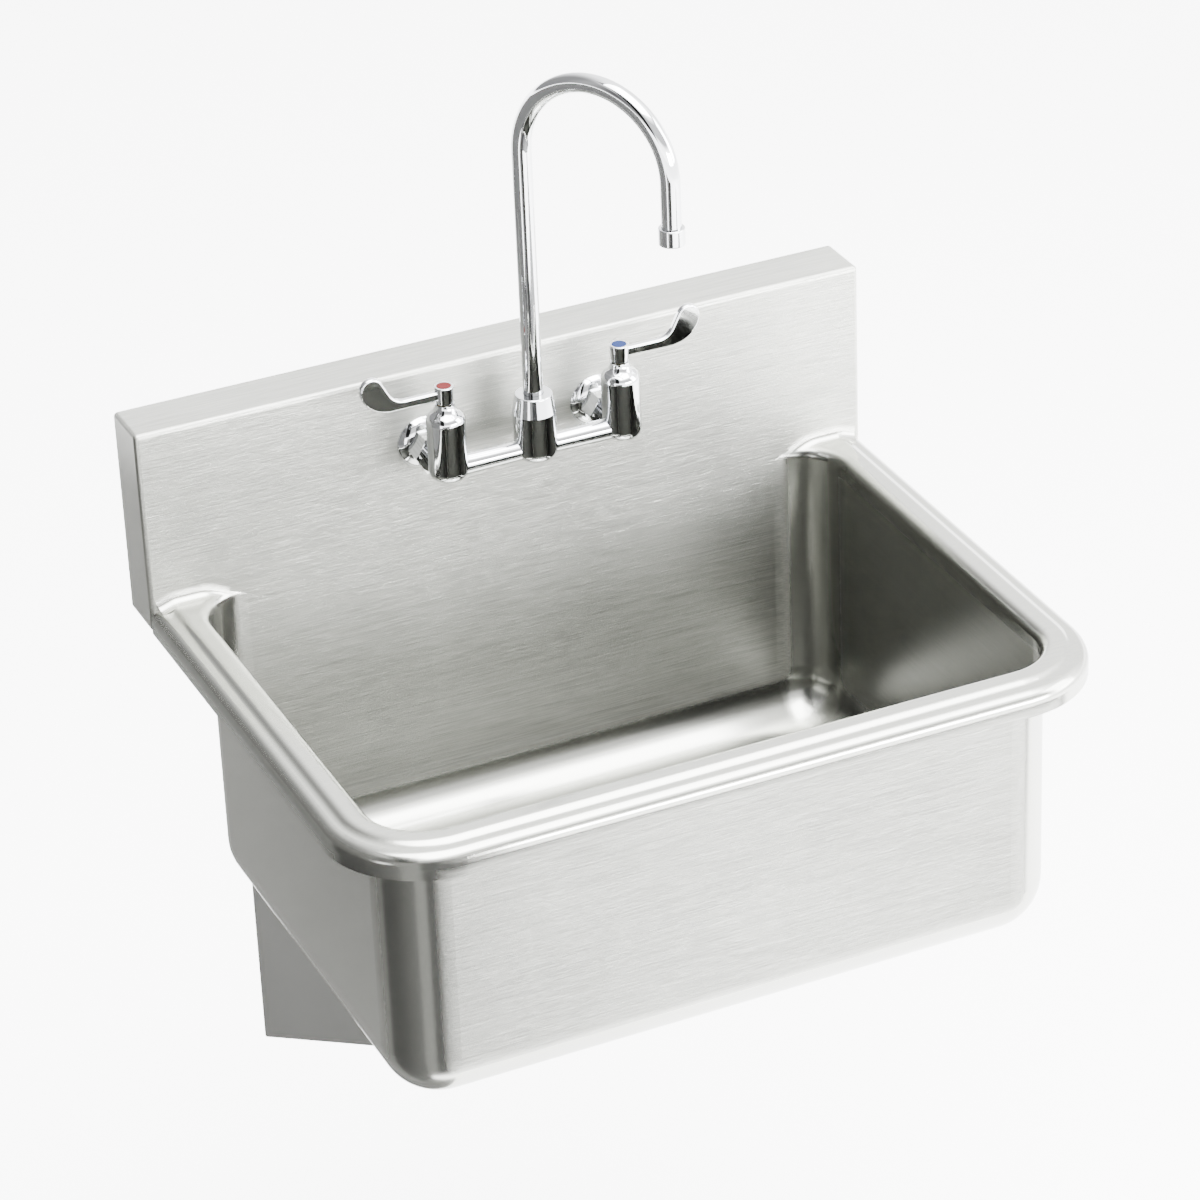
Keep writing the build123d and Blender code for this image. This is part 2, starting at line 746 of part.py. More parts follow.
for side, side_name in ((-1, "hot"), (1, "cold")):
    valve_x = side * supply_x
    with BuildPart() as escutcheon:
        with BuildSketch(Plane((valve_x, -splash_depth, supply_z), x_dir=(1, 0, 0), z_dir=(0, 0, 1))):
            with BuildLine():
                bore_x = shank_radius + thread_clearance
                rim = Line((escutcheon_radius, 0), (escutcheon_radius, -escutcheon_wall))
                dome = ThreePointArc(
                    rim @ 1,
                    (
                        (escutcheon_radius + coupling_across_flats / 2) / 2,
                        -escutcheon_height * escutcheon_fullness,
                    ),
                    (coupling_across_flats / 2, -escutcheon_height),
                )
                Polyline(
                    dome @ 1,
                    (bore_x, -escutcheon_height),
                    (bore_x, -escutcheon_height + escutcheon_wall),
                    (bore_x + escutcheon_wall, -escutcheon_height + escutcheon_wall),
                    (escutcheon_radius - 2 * escutcheon_wall, 0),
                    (escutcheon_radius, 0),
                )
            make_face()
        revolve(axis=Axis((valve_x, 0, supply_z), (0, 1, 0)))
    escutcheon.part.label = f"{side_name}_escutcheon"
    export_step(escutcheon.part, f"parts/{escutcheon.part.label}.step")

    with BuildPart() as coupling_nut:
        with BuildSketch(supply_plane(valve_x, coupling_end_y)):
            RegularPolygon(coupling_across_flats / 2, 6, major_radius=False)
        extrude(amount=-coupling_length)
        # Corners turned off at both ends
        with BuildSketch(Plane((valve_x, coupling_end_y, supply_z), x_dir=(1, 0, 0), z_dir=(0, 0, 1))):
            with BuildLine():
                flat_x = coupling_across_flats / 2
                corner_x = flat_x / math.cos(math.pi / 6)
                Polyline(
                    (0, 0),
                    (flat_x, 0),
                    (corner_x, coupling_corner),
                    (corner_x, coupling_length - coupling_corner),
                    (flat_x, coupling_length),
                    (0, coupling_length),
                    close=True,
                )
            make_face()
        revolve(axis=Axis((valve_x, 0, supply_z), (0, 1, 0)), mode=Mode.INTERSECT)
        with BuildSketch(supply_plane(valve_x, coupling_end_y)):
            Circle(inlet_radius + thread_clearance)
        extrude(amount=-coupling_length, mode=Mode.SUBTRACT)
        with BuildSketch(supply_plane(valve_x, coupling_end_y + coupling_web)):
            Circle(coupling_collar_radius + thread_clearance)
        extrude(
            amount=-(coupling_collar_length + coupling_washer_thickness + 2 * thread_clearance),
            mode=Mode.SUBTRACT,
        )
    coupling_nut.part.label = f"{side_name}_coupling_nut"
    export_step(coupling_nut.part, f"parts/{coupling_nut.part.label}.step")

    with BuildPart() as shank:
        with BuildSketch(supply_plane(valve_x, -splash_depth - shank_grip)):
            Circle(shank_radius)
            Circle(shank_bore, mode=Mode.SUBTRACT)
        extrude(amount=-shank_threads)
        with BuildSketch(supply_plane(valve_x, -splash_depth - shank_grip + shank_threads)):
            Circle(shank_tail_radius)
            Circle(shank_bore, mode=Mode.SUBTRACT)
        extrude(amount=-shank_tail)
    shank.part.label = f"{side_name}_shank"
    export_step(shank.part, f"parts/{shank.part.label}.step")

coupling_places = [(-supply_x, 0), (supply_x, 0)]

with BuildPart() as coupling_washers:
    with BuildSketch(supply_plane(0, -splash_depth - shank_grip)):
        with Locations(*coupling_places):
            Circle(shank_radius)
            Circle(shank_bore, mode=Mode.SUBTRACT)
    extrude(amount=coupling_washer_thickness)
coupling_washers.part.label = "coupling_washers"
export_step(coupling_washers.part, "parts/coupling_washers.step")

with BuildPart() as shank_washers:
    with BuildSketch(supply_plane(0, splash_back_y)):
        with Locations(*coupling_places):
            Circle(lock_washer_radius)
            Circle(shank_radius + thread_clearance, mode=Mode.SUBTRACT)
    extrude(amount=-lock_washer_thickness)
shank_washers.part.label = "shank_washers"
export_step(shank_washers.part, "parts/shank_washers.step")

with BuildPart() as shank_locknuts:
    with BuildSketch(supply_plane(0, lock_nut_y)):
        with Locations(*coupling_places):
            RegularPolygon(locknut_across_flats / 2, 6, major_radius=False)
            Circle(shank_radius + thread_clearance, mode=Mode.SUBTRACT)
    extrude(amount=-locknut_height)
shank_locknuts.part.label = "shank_locknuts"
export_step(shank_locknuts.part, "parts/shank_locknuts.step")

# Valves: seat seal, two ceramic discs, cartridge, stem and bonnet on each side
disc_z = valve_floor_z + seat_seal_height
moving_disc_z = disc_z + disc_height + disc_gap
driver_z = moving_disc_z + disc_height + disc_gap
cartridge_inner_radius = chamber_radius - cartridge_clearance - cartridge_wall
barrel_z = seam_z + cartridge_flange
neck_z = barrel_z + cartridge_barrel
bonnet_top_z = seam_z + bonnet_height
bonnet_run = bonnet_height - bonnet_straight
bonnet_fall = valve_radius - bonnet_neck_radius
bonnet_sweep = 2 * math.degrees(math.atan(bonnet_fall / bonnet_run))
bonnet_waist_radius = bonnet_run / math.sin(math.radians(bonnet_sweep)) - bonnet_shoulder_radius
stem_top_z = seam_z + stem_top
hub_z = bonnet_top_z + hub_gap
hub_top_z = hub_z + hub_height
web_top_z = stem_top_z + stem_running_fit + hub_web
button_z = web_top_z + hub_well_depth
arm_z = seam_z + blade_arm_height

for side, side_name in ((-1, "hot"), (1, "cold")):
    valve_x = side * supply_x
    valve_axis = Axis((valve_x, tap_y, 0), (0, 0, 1))

    with BuildPart() as seat_seal:
        with BuildSketch(tap_plane(valve_x, valve_floor_z)):
            Circle(cartridge_inner_radius - cartridge_clearance)
            Circle(seat_bore, mode=Mode.SUBTRACT)
        extrude(amount=seat_seal_height)
    seat_seal.part.label = f"{side_name}_seat_seal"
    export_step(seat_seal.part, f"parts/{seat_seal.part.label}.step")

    with BuildPart() as fixed_disc:
        with BuildSketch(tap_plane(valve_x, disc_z)):
            Circle(cartridge_inner_radius - cartridge_clearance)
            with Locations((0, -disc_port_offset + disc_port_radius), (0, disc_port_offset)):
                Circle(disc_port_radius, mode=Mode.SUBTRACT)
        extrude(amount=disc_height)
    fixed_disc.part.label = f"{side_name}_fixed_disc"
    export_step(fixed_disc.part, f"parts/{fixed_disc.part.label}.step")

    with BuildPart() as moving_disc:
        with BuildSketch(tap_plane(valve_x, moving_disc_z)):
            Circle(cartridge_inner_radius - cartridge_clearance)
            with Locations((disc_port_offset, 0), (-disc_port_offset, 0)):
                Circle(disc_port_radius, mode=Mode.SUBTRACT)
        extrude(amount=disc_height)
    moving_disc.part.label = f"{side_name}_moving_disc"
    export_step(moving_disc.part, f"parts/{moving_disc.part.label}.step")

    with BuildPart() as cartridge:
        with BuildSketch(tap_plane(valve_x, valve_floor_z)):
            Circle(chamber_radius - cartridge_clearance)
        extrude(amount=seam_z - valve_floor_z)
        with BuildSketch(tap_plane(valve_x, seam_z)):
            Circle(cartridge_flange_radius)
        extrude(amount=cartridge_flange)
        with BuildSketch(tap_plane(valve_x, barrel_z)):
            Circle(cartridge_barrel_radius)
        extrude(amount=cartridge_barrel)
        with BuildSketch(tap_plane(valve_x, neck_z)):
            Circle(cartridge_neck_radius)
        extrude(amount=cartridge_neck)
        with BuildSketch(tap_plane(valve_x, valve_floor_z)):
            Circle(cartridge_inner_radius)
        extrude(amount=cartridge_cavity, mode=Mode.SUBTRACT)
        with BuildSketch(tap_plane(valve_x, valve_floor_z)):
            Circle(stem_radius + stem_running_fit)
        extrude(amount=neck_z + cartridge_neck - valve_floor_z, mode=Mode.SUBTRACT)
        # Windows that let the water out into the chamber
        with BuildSketch(Plane((valve_x, tap_y, driver_z + driver_height), z_dir=(1, 0, 0))):
            Circle(window_radius)
        extrude(amount=chamber_radius, both=True, mode=Mode.SUBTRACT)
    cartridge.part.label = f"{side_name}_cartridge"
    export_step(cartridge.part, f"parts/{cartridge.part.label}.step")

    with BuildPart() as stem:
        with BuildSketch(tap_plane(valve_x, driver_z)):
            Circle(driver_radius)
        extrude(amount=driver_height)
        with BuildSketch(tap_plane(valve_x, driver_z)):
            Circle(stem_radius)
        extrude(amount=stem_top_z - driver_z)
        with BuildSketch(tap_plane(valve_x, stem_top_z)):
            Circle(handle_screw_radius + thread_clearance)
        extrude(amount=-handle_screw_length, mode=Mode.SUBTRACT)
    stem.part.label = f"{side_name}_stem"
    export_step(stem.part, f"parts/{stem.part.label}.step")

    # Bonnet, shaped like the shoulder of a bottle
    with BuildPart() as bonnet:
        with BuildSketch(Plane((valve_x, tap_y, seam_z), x_dir=(1, 0, 0), z_dir=(0, -1, 0))):
            with BuildLine():
                wall_line = Line((valve_radius, 0), (valve_radius, bonnet_straight))
                shoulder = JernArc(wall_line @ 1, (0, 1), bonnet_shoulder_radius, bonnet_sweep)
                waist = JernArc(shoulder @ 1, shoulder % 1, bonnet_waist_radius, -bonnet_sweep)
                Polyline(
                    waist @ 1,
                    (cartridge_neck_radius + cartridge_clearance, bonnet_height),
                    (cartridge_neck_radius + cartridge_clearance, bonnet_height - bonnet_throat),
                    (cartridge_barrel_radius + cartridge_clearance, neck_z - seam_z),
                    (cartridge_barrel_radius + cartridge_clearance, cartridge_flange),
                    (cartridge_flange_radius + cartridge_clearance, cartridge_flange),
                    (cartridge_flange_radius + cartridge_clearance, 0),
                    (valve_radius, 0),
                )
            make_face()
        revolve(axis=valve_axis)
    bonnet.part.label = f"{side_name}_bonnet"
    export_step(bonnet.part, f"parts/{bonnet.part.label}.step")

    # Handle: a tapered hub with a flat blade that curls up to a rounded end
    with BuildPart() as handle:
        with BuildSketch(Plane((valve_x, tap_y, arm_z), x_dir=(side, 0, 0), z_dir=(0, -side, 0))):
            with BuildLine():
                lean = math.radians(blade_lean)
                curl_width = blade_curl_radius * math.sin(lean) + blade_end_length * math.cos(lean)
                curl_start = blade_reach - blade_end_radius * (1 + math.sin(lean)) - curl_width
                top_edge = Line((0, blade_arm_half), (curl_start, blade_arm_half))
                curl = JernArc(top_edge @ 1, (1, 0), blade_curl_radius, blade_lean)
                back = PolarLine(curl @ 1, blade_end_length, blade_lean)
                end = JernArc(back @ 1, back % 1, blade_end_radius, -(90 + blade_lean))
                belly = EllipticalCenterArc(
                    (blade_reach - blade_belly, (end @ 1).Y),
                    blade_belly,
                    (end @ 1).Y + blade_arm_half,
                    start_angle=270,
                    arc_size=90,
                )
                Polyline(belly @ 0, (0, -blade_arm_half), (0, blade_arm_half))
            make_face()
        extrude(amount=blade_thickness / 2, both=True)
        side_faces = handle.faces().filter_by(Axis.Y)
        long_edges = side_faces.edges().filter_by(
            lambda e: abs(e.center().X - valve_x) > hub_top_radius / 2
        )
        fillet(long_edges, blade_edge_radius)
        with BuildSketch(tap_plane(valve_x, hub_z)):
            Circle(hub_bottom_radius)
        with BuildSketch(tap_plane(valve_x, hub_top_z)):
            Circle(hub_top_radius)
        loft()
        hub_edges = handle.faces().filter_by(Axis.Z).sort_by_distance((valve_x, tap_y, hub_top_z))[0].edges()
        fillet(hub_edges, hub_edge)
        # Socket for the stem, screw hole, screw well and seat of the index button
        with BuildSketch(tap_plane(valve_x, hub_z)):
            Circle(stem_radius + stem_running_fit)
        extrude(amount=web_top_z - hub_web - hub_z, mode=Mode.SUBTRACT)
        with BuildSketch(tap_plane(valve_x, hub_z)):
            Circle(handle_screw_radius + thread_clearance)
        extrude(amount=hub_height, mode=Mode.SUBTRACT)
        with BuildSketch(tap_plane(valve_x, web_top_z)):
            Circle(hub_well_radius)
        extrude(amount=hub_height, mode=Mode.SUBTRACT)
        with BuildSketch(tap_plane(valve_x, button_z)):
            Circle(button_radius + cartridge_clearance)
        extrude(amount=hub_height, mode=Mode.SUBTRACT)
    handle.part.label = f"{side_name}_handle"
    export_step(handle.part, f"parts/{handle.part.label}.step")

    with BuildPart() as handle_screw:
        with BuildSketch(tap_plane(valve_x, web_top_z)):
            Circle(handle_screw_head_radius)
        extrude(amount=handle_screw_head)
        fillet(handle_screw.edges().sort_by(Axis.Z)[-1], handle_screw_head / 3)
        with BuildSketch(tap_plane(valve_x, web_top_z)):
            Circle(handle_screw_radius)
        extrude(amount=-handle_screw_length)
    handle_screw.part.label = f"{side_name}_handle_screw"
    export_step(handle_screw.part, f"parts/{handle_screw.part.label}.step")

    with BuildPart() as index_button:
        with BuildSketch(tap_plane(valve_x, button_z)):
            Circle(button_radius)
        extrude(amount=button_height)
        fillet(index_button.edges().sort_by(Axis.Z)[-1], button_edge)
    index_button.part.label = f"{side_name}_index_button"
    export_step(index_button.part, f"parts/{index_button.part.label}.step")

# Spout: gooseneck tube brazed into a grooved stub that turns in the tower
stub_top_z = neck_top_z - spout_stub_top
stub_bottom_z = stub_top_z - spout_stub_length
stub_radius = spout_bore_radius - spout_running_fit
groove_radius = stub_radius - oring_groove_depth
oring_zs = [stub_bottom_z + oring_first + row * oring_pitch for row in range(2)]
swing = math.radians(spout_swing)
spout_dir = Vector(math.sin(swing), -math.cos(swing), 0)
spout_normal = Vector(-math.cos(swing), -math.sin(swing), 0)
spout_bend = spout_reach / 2
spring_z = supply_z + spout_spring_height
spout_end_z = spring_z - spout_drop

with BuildPart() as spout_tube:
    with BuildLine(Plane((0, tap_y, 0), x_dir=spout_dir, z_dir=spout_normal)) as spout_path:
        riser = Line((0, stub_bottom_z), (0, spring_z))
        arch = JernArc(riser @ 1, (0, 1), spout_bend, -180)
        Line(arch @ 1, (spout_reach, spout_end_z))
    with BuildSketch(tap_plane(0, stub_bottom_z)):
        Circle(spout_radius)
    sweep(path=spout_path.line)
    with BuildSketch(tap_plane(0, stub_bottom_z)):
        Circle(stub_radius)
    extrude(amount=spout_stub_length)
    for oring_z in oring_zs:
        with BuildSketch(tap_plane(0, oring_z)):
            Circle(stub_radius)
            Circle(groove_radius, mode=Mode.SUBTRACT)
        extrude(amount=oring_groove_width / 2, both=True, mode=Mode.SUBTRACT)
    with BuildSketch(tap_plane(0, stub_bottom_z)):
        Circle(spout_radius - spout_wall)
    sweep(path=spout_path.line, mode=Mode.SUBTRACT)
spout_tube.part.label = "spout_tube"
export_step(spout_tube.part, "parts/spout_tube.step")

with BuildPart() as spout_orings:
    with Locations(*[(0, tap_y, oring_z) for oring_z in oring_zs]):
        Torus(stub_radius - oring_section, oring_section)
spout_orings.part.label = "spout_orings"
export_step(spout_orings.part, "parts/spout_orings.step")

with BuildPart() as spout_bush:
    with BuildSketch(tap_plane(0, stub_top_z + bush_gap)):
        Circle(stub_radius)
        Circle(spout_radius + spout_running_fit, mode=Mode.SUBTRACT)
    extrude(amount=spout_stub_top - bush_gap)
spout_bush.part.label = "spout_bush"
export_step(spout_bush.part, "parts/spout_bush.step")

# Collar nut that holds the spout down in the tower
with BuildPart() as collar_nut:
    with BuildSketch(tap_plane(0, seam_z)):
        Circle(collar_bottom_radius)
    with BuildSketch(tap_plane(0, seam_z + collar_height)):
        Circle(collar_top_radius)
    loft()
    fillet(collar_nut.edges().sort_by(Axis.Z)[-1], collar_edge)
    with BuildSketch(tap_plane(0, seam_z)):
        Circle(tower_neck_radius + thread_clearance)
    extrude(amount=tower_neck, mode=Mode.SUBTRACT)
    with BuildSketch(tap_plane(0, seam_z)):
        Circle(spout_radius + collar_clearance)
    extrude(amount=collar_height, mode=Mode.SUBTRACT)
collar_nut.part.label = "collar_nut"
export_step(collar_nut.part, "parts/collar_nut.step")

# Outlet: a threaded shell on the tube's end that holds the flow insert
outlet_x = spout_reach * spout_dir.X
outlet_y = tap_y + spout_reach * spout_dir.Y
outlet_z = spout_end_z + outlet_overlap - outlet_height
insert_z = outlet_z + outlet_lip
insert_radius = outlet_radius - outlet_wall - thread_clearance


def outlet_plane(z):
    """Level plane on the outlet's axis."""
    return Plane((outlet_x, outlet_y, z))


with BuildPart() as outlet_shell:
    with BuildSketch(outlet_plane(outlet_z)):
        Circle(outlet_radius)
    extrude(amount=outlet_height)
    fillet(outlet_shell.edges().filter_by(GeomType.CIRCLE), outlet_edge)
    with BuildSketch(outlet_plane(outlet_z)):
        Circle(spout_radius + spout_running_fit)
    extrude(amount=outlet_height, mode=Mode.SUBTRACT)
    with BuildSketch(outlet_plane(insert_z)):
        Circle(outlet_radius - outlet_wall)
    extrude(amount=spout_end_z - insert_z, mode=Mode.SUBTRACT)
outlet_shell.part.label = "outlet_shell"
export_step(outlet_shell.part, "parts/outlet_shell.step")

with BuildPart() as flow_insert:
    with BuildSketch(outlet_plane(insert_z)):
        Circle(insert_radius)
        Circle(insert_hole_radius, mode=Mode.SUBTRACT)
        with PolarLocations(insert_ring_radius, insert_ring_holes):
            Circle(insert_hole_radius, mode=Mode.SUBTRACT)
        with PolarLocations(insert_outer_ring_radius, insert_outer_ring_holes):
            Circle(insert_hole_radius, mode=Mode.SUBTRACT)
    extrude(amount=spout_end_z - insert_z)
flow_insert.part.label = "flow_insert"
export_step(flow_insert.part, "parts/flow_insert.step")
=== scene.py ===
# %% [markdown]
# # A wall-hung hand sink in Blender
#
# The sink arrives as a packed frame of metal pieces at their real size, in metres. This notebook
# dresses it: a camera, a studio, and the finishes of the steel, the chrome and the small parts.
# +Z is up and +Y points into the wall, so the sink faces -Y.

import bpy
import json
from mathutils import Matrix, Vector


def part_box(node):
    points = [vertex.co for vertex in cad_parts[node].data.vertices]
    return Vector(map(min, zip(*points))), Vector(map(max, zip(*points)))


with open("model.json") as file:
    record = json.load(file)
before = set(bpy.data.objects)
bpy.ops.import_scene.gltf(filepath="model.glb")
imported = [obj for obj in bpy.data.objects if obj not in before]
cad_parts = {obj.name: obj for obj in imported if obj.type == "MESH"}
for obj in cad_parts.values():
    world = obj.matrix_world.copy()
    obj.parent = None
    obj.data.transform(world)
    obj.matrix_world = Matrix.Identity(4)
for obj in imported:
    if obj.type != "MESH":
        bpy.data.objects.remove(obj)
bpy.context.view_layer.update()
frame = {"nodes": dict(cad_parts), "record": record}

# %% Modules
import json
import math

import bpy
from mathutils import Matrix, Vector

print("Blender", bpy.app.version_string)

# %% [markdown]
# ## The camera
#
# A product photographer stands well back with a long lens, so that the rim's parallel edges stay
# nearly parallel. The view comes from the left and above: the camera looks 23.6 degrees to the
# right of straight ahead and 29.3 degrees down, and it is tilted by a small roll. A camera looks
# along its own -Z axis, so its matrix is built from its right, up and back directions.

# %% Camera
CAMERA_PLACE = Vector((-1.2925, -3.1736, 1.7030))
CAMERA_LENS = 140.6
SENSOR_WIDTH = 36
FARTHEST_SEEN = 50
LOOK_RIGHT = math.radians(23.61)
LOOK_DOWN = math.radians(29.34)
CAMERA_ROLL = math.radians(-2.43)

look = Vector((
    math.sin(LOOK_RIGHT) * math.cos(LOOK_DOWN),
    math.cos(LOOK_RIGHT) * math.cos(LOOK_DOWN),
    -math.sin(LOOK_DOWN),
))
level_right = look.cross(Vector((0, 0, 1))).normalized()
level_up = level_right.cross(look)
camera_right = math.cos(CAMERA_ROLL) * level_right + math.sin(CAMERA_ROLL) * level_up
camera_up = math.cos(CAMERA_ROLL) * level_up - math.sin(CAMERA_ROLL) * level_right
camera_turn = Matrix((camera_right, camera_up, -look)).transposed().to_4x4()

camera_data = bpy.data.cameras.new("photo_camera")
camera_data.lens = CAMERA_LENS
camera_data.sensor_width = SENSOR_WIDTH
camera_data.clip_end = FARTHEST_SEEN
camera = bpy.data.objects.new("photo_camera", camera_data)
bpy.context.scene.collection.objects.link(camera)
camera.matrix_world = Matrix.Translation(CAMERA_PLACE) @ camera_turn
bpy.context.scene.camera = camera
print("camera looks along", [round(v, 3) for v in look])

# %% [markdown]
# ## The studio
#
# Polished metal shows nothing but its surroundings, so the studio is half of the finish. The
# floor is a wide pale sweep that also glows a little by itself, so that it is as white as the air
# behind it and has no edge. The light comes from three large soft panels, because a small lamp
# would show up in the chrome as a hard dot.

# %% Floor and light panels
FLOOR_Z = -0.978
FLOOR_SIZE = 40

# Each row: the panel's place, what it points at, its width and height, and its power in watts.
LIGHT_PANELS = {
    "top_panel": ((0.3, -1.0, 3.4), (0.1, -0.4, -0.5), 3.6, 3.0, 620),
    "right_panel": ((3.0, -1.6, 1.3), (0, -0.25, 0.0), 1.6, 2.6, 300),
    "front_panel": ((1.65, -3.9, 0.5), (0.0, -0.05, -0.05), 2.6, 0.9, 430),
}


def clear_selection():
    """Deselect everything, so that the next operator acts on one thing alone."""
    for thing in bpy.context.selected_objects:
        thing.select_set(False)


def light_panel(name, place, target, width, height, power):
    """A soft rectangular lamp at a place, turned to face a target."""
    lamp_data = bpy.data.lights.new(name, "AREA")
    lamp_data.shape = "RECTANGLE"
    lamp_data.size = width
    lamp_data.size_y = height
    lamp_data.energy = power
    lamp = bpy.data.objects.new(name, lamp_data)
    bpy.context.scene.collection.objects.link(lamp)
    aim = (Vector(target) - Vector(place)).to_track_quat("-Z", "Y")
    lamp.matrix_world = Matrix.Translation(place) @ aim.to_matrix().to_4x4()


clear_selection()
bpy.ops.mesh.primitive_plane_add(size=FLOOR_SIZE, location=(0, 0, FLOOR_Z))
floor = bpy.context.object
floor.name = "studio_floor"

for name, panel in LIGHT_PANELS.items():
    light_panel(name, *panel)

# %% [markdown]
# ## A small language for finishes
#
# A finish is a graph of shader nodes. Wired by hand in code, a simple sum takes four lines, so
# the class Wire lets Python's own operators add the nodes: `grain * 0.1 + 0.3` becomes a Multiply
# and an Add. The class Finish makes one material around a Principled shader and adds any
# other node with one method, so every finish below reads like a recipe.

# %% Wires


class Wire:
    """One output socket that Python's operators can work on."""

    def __init__(self, tree, socket):
        self.tree = tree
        self.socket = socket

    def math(self, operation, *values):
        """Add a Math node that works on the values, and give its output."""
        node = self.tree.nodes.new("ShaderNodeMath")
        node.operation = operation
        for place, value in enumerate(values):
            join(self.tree, value, node.inputs[place])
        return Wire(self.tree, node.outputs[0])

    def __add__(self, other):
        return self.math("ADD", self, other)

    def __sub__(self, other):
        return self.math("SUBTRACT", self, other)

    def __rsub__(self, other):
        return self.math("SUBTRACT", other, self)

    def __mul__(self, other):
        return self.math("MULTIPLY", self, other)

    def __abs__(self):
        return self.math("ABSOLUTE", self)

    def or_more(self, other):
        """The larger of two values."""
        return self.math("MAXIMUM", self, other)

    __radd__ = __add__
    __rmul__ = __mul__


def join(tree, value, socket):
    """Give a socket a value, or link it to the wire that carries one."""
    if isinstance(value, Wire):
        tree.links.new(value.socket, socket)
    else:
        socket.default_value = value


def shade(colour, amount):
    """A colour made darker or lighter by a factor."""
    return tuple(min(1.0, amount * part) for part in colour)


print("half as bright as white:", shade((1, 1, 1), 0.5))

# %% Finishes
# A Mix node holds sockets for numbers, vectors and colours side by side. These are its colours.
MIX_COLOUR_A, MIX_COLOUR_B, MIX_COLOUR_RESULT = 6, 7, 2
NOISE_ROUGHNESS = 0.6
EVEN = (1, 1, 1)


class Finish:
    """One material, built around a Principled shader."""

    def __init__(self, name, colour, metallic, roughness):
        self.material = bpy.data.materials.new(name)
        self.material.use_nodes = True
        self.tree = self.material.node_tree
        self.shader = self.tree.nodes["Principled BSDF"]
        self.set("Base Color", (*colour, 1))
        self.set("Metallic", metallic)
        self.set("Roughness", roughness)

    def set(self, name, value):
        """Set or link one socket of the shader."""
        join(self.tree, value, self.shader.inputs[name])

    def node(self, kind, output, values, **settings):
        """Add any node: its settings first, then its sockets, and give one output."""
        node = self.tree.nodes.new(kind)
        for name, value in settings.items():
            setattr(node, name, value)
        for name, value in values.items():
            join(self.tree, value, node.inputs[name])
        return Wire(self.tree, node.outputs[output])

    def ramp(self, value, low, high, at_low, at_high):
        """Pass smoothly from one number to another as a value goes from low to high."""
        sockets = {
            "Value": value,
            "From Min": low,
            "From Max": high,
            "To Min": at_low,
            "To Max": at_high,
        }
        return self.node("ShaderNodeMapRange", "Result", sockets, interpolation_type="SMOOTHSTEP")

    def split(self, vector):
        """The three parts of a vector."""
        node = self.tree.nodes.new("ShaderNodeSeparateXYZ")
        join(self.tree, vector, node.inputs[0])
        return [Wire(self.tree, socket) for socket in node.outputs]

    def facing(self):
        """The direction in which the surface faces, as its parts along X, Y and Z."""
        return self.split(self.node("ShaderNodeNewGeometry", "Normal", {}))

    def spot(self):
        """The spot on the object, as its X, Y and Z in metres."""
        return self.split(self.node("ShaderNodeTexCoord", "Object", {}))

    def noise(self, stretch, scale, detail):
        """Soft random grain between 0 and 1, finer by a factor along each axis."""
        place = self.node("ShaderNodeTexCoord", "Object", {})
        stretched = self.node("ShaderNodeMapping", "Vector", {"Vector": place, "Scale": stretch})
        values = {
            "Vector": stretched,
            "Scale": scale,
            "Detail": detail,
            "Roughness": NOISE_ROUGHNESS,
        }
        return self.node("ShaderNodeTexNoise", "Fac", values)

    def tint(self, amount, colour, other):
        """A colour between two others."""
        node = self.tree.nodes.new("ShaderNodeMix")
        node.data_type = "RGBA"
        join(self.tree, amount, node.inputs["Factor"])
        for place, value in ((MIX_COLOUR_A, colour), (MIX_COLOUR_B, other)):
            join(self.tree, value if isinstance(value, Wire) else (*value, 1), node.inputs[place])
        return Wire(self.tree, node.outputs[MIX_COLOUR_RESULT])

    def bump(self, height, distance):
        """Raise and lower the surface by a height, in metres."""
        values = {"Height": height, "Distance": distance, "Strength": 1.0}
        self.set("Normal", self.node("ShaderNodeBump", "Normal", values))


print("a finish can:", [name for name in vars(Finish) if not name.startswith("_")])

# %% [markdown]
# ## The air of the studio
#
# The steel is a soft mirror and the chrome a sharp one, so both need something to reflect. The
# air is white overhead and to the right, and grey to the left. A dark upright gap stands behind
# the camera: it is the black stripe down the riser and down each valve. The air in front is dim
# at middle height, like an unlit room, and gives the bowl its deeper tones. Close to the horizon
# all of it is white, so that it meets the floor without an edge. The brightness is mixed from the
# direction alone, so it stays where it is when the camera moves.

# %% Air
AIR_STRENGTH = 9.5
LEFT_BRIGHTNESS = 0.12
REAR_BRIGHTNESS = 0.5
HORIZON_BRIGHTNESS = 0.85
GAP_HEADING = math.radians(-112)
GAP_OFFSET = 0.3
GAP_BRIGHTNESS = 0.02
ROOM_DIMMING = 0.8


class Air:
    """The world's own graph, with the same ways of adding nodes."""

    def __init__(self, name):
        self.world = bpy.data.worlds.new(name)
        self.world.use_nodes = True
        self.tree = self.world.node_tree
        self.background = self.tree.nodes["Background"]

    node = Finish.node
    ramp = Finish.ramp
    split = Finish.split


air = Air("studio_air")
bpy.context.scene.world = air.world
east, north, height = air.split(air.node("ShaderNodeTexCoord", "Generated", {}))
towards_gap = east * math.cos(GAP_HEADING) + north * math.sin(GAP_HEADING)
right_of_gap = north * math.cos(GAP_HEADING) - east * math.sin(GAP_HEADING)

towards_top = air.ramp(height, 0.0, 0.6, HORIZON_BRIGHTNESS, 1.0)
overhead = towards_top * air.ramp(north, -0.2, 0.4, 1.0, REAR_BRIGHTNESS)
grey_left = air.ramp(right_of_gap, -0.7, 0.1, LEFT_BRIGHTNESS, 1.0)
beside_gap = air.ramp(abs(right_of_gap + GAP_OFFSET), 0.12, 0.2, GAP_BRIGHTNESS, 1.0)
gap = beside_gap.or_more(air.ramp(towards_gap, -0.1, 0.1, 1.0, 0.0))

